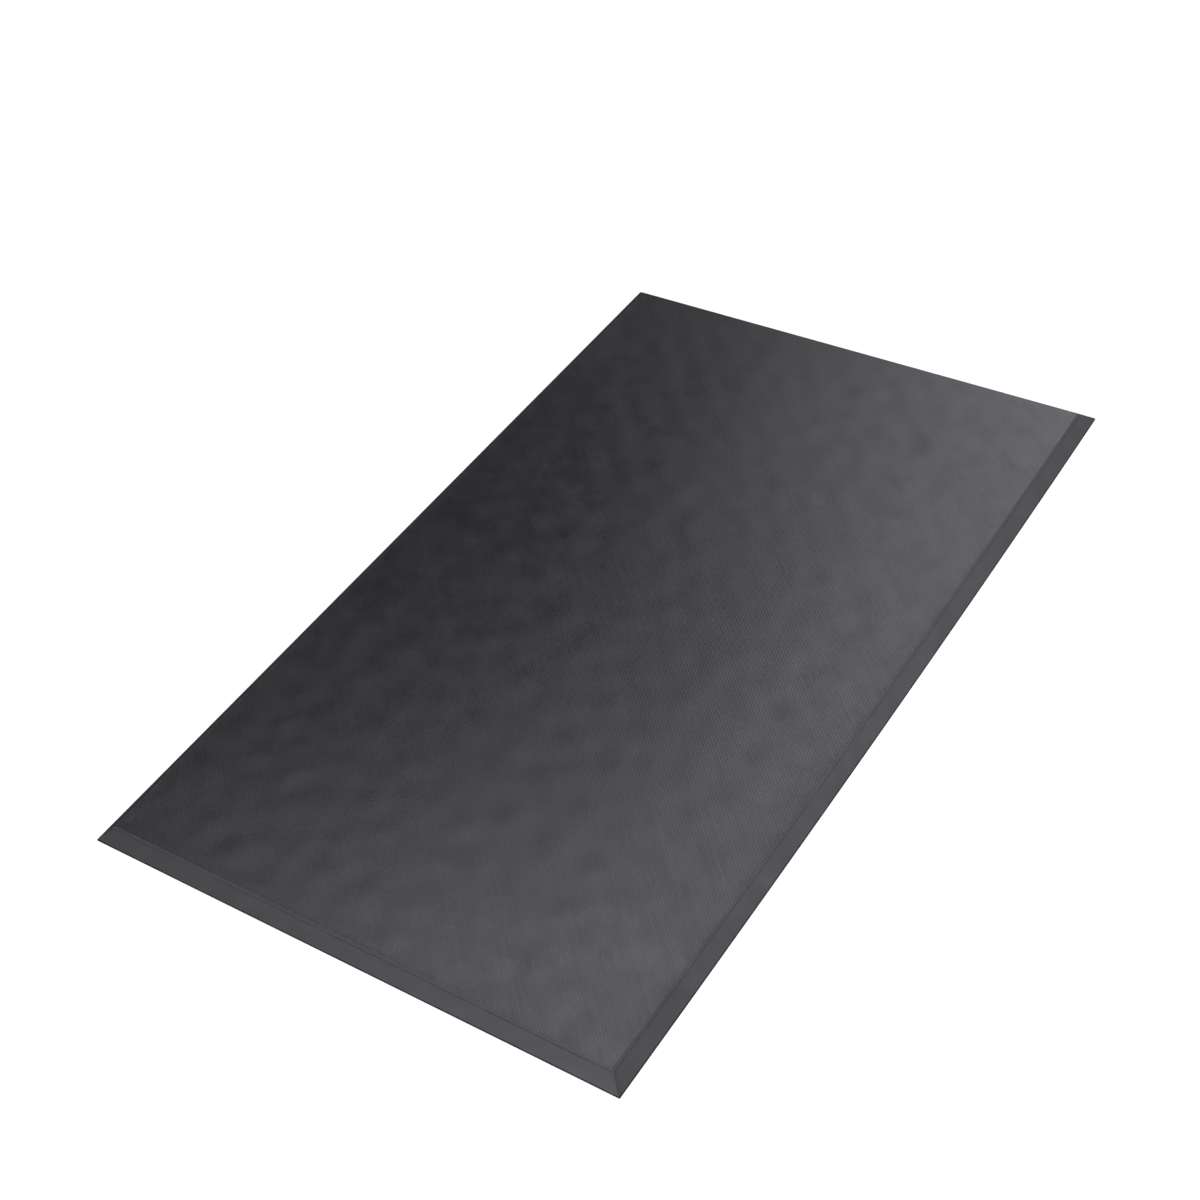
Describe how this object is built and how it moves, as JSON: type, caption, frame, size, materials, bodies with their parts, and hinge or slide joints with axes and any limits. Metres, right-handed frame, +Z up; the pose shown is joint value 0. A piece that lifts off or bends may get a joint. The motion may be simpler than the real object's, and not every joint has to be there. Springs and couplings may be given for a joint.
{
  "type": "anti fatigue mat",
  "caption": "Rectangular standing mat with a textured top sheet on foam, mitred bevelled edges on all sides and an anti-slip base.",
  "frame": {"origin": "centre of the underside, on the floor that the mat lies on", "axes": "+Z up out of the top face, +Y along the long sides towards the rear short side, +X across towards the right long side"},
  "size_m": [0.6, 1, 0.015],
  "materials": {
    "wear_rubber": "satin, fine diagonal texture",
    "ramp_rubber": "smooth satin",
    "base_rubber": "matte, slightly tacky",
    "core_foam": "closed-cell foam",
    "bond_film": "adhesive film"
  },
  "bodies": {
    "root": {"grip_base": "base_rubber", "lower_bond_film": "bond_film", "foam_core": "core_foam", "front_edge_ramp": "ramp_rubber", "right_edge_ramp": "ramp_rubber", "rear_edge_ramp": "ramp_rubber", "left_edge_ramp": "ramp_rubber", "upper_bond_film": "bond_film", "wear_sheet": "wear_rubber"}
  },
  "joints": []
}
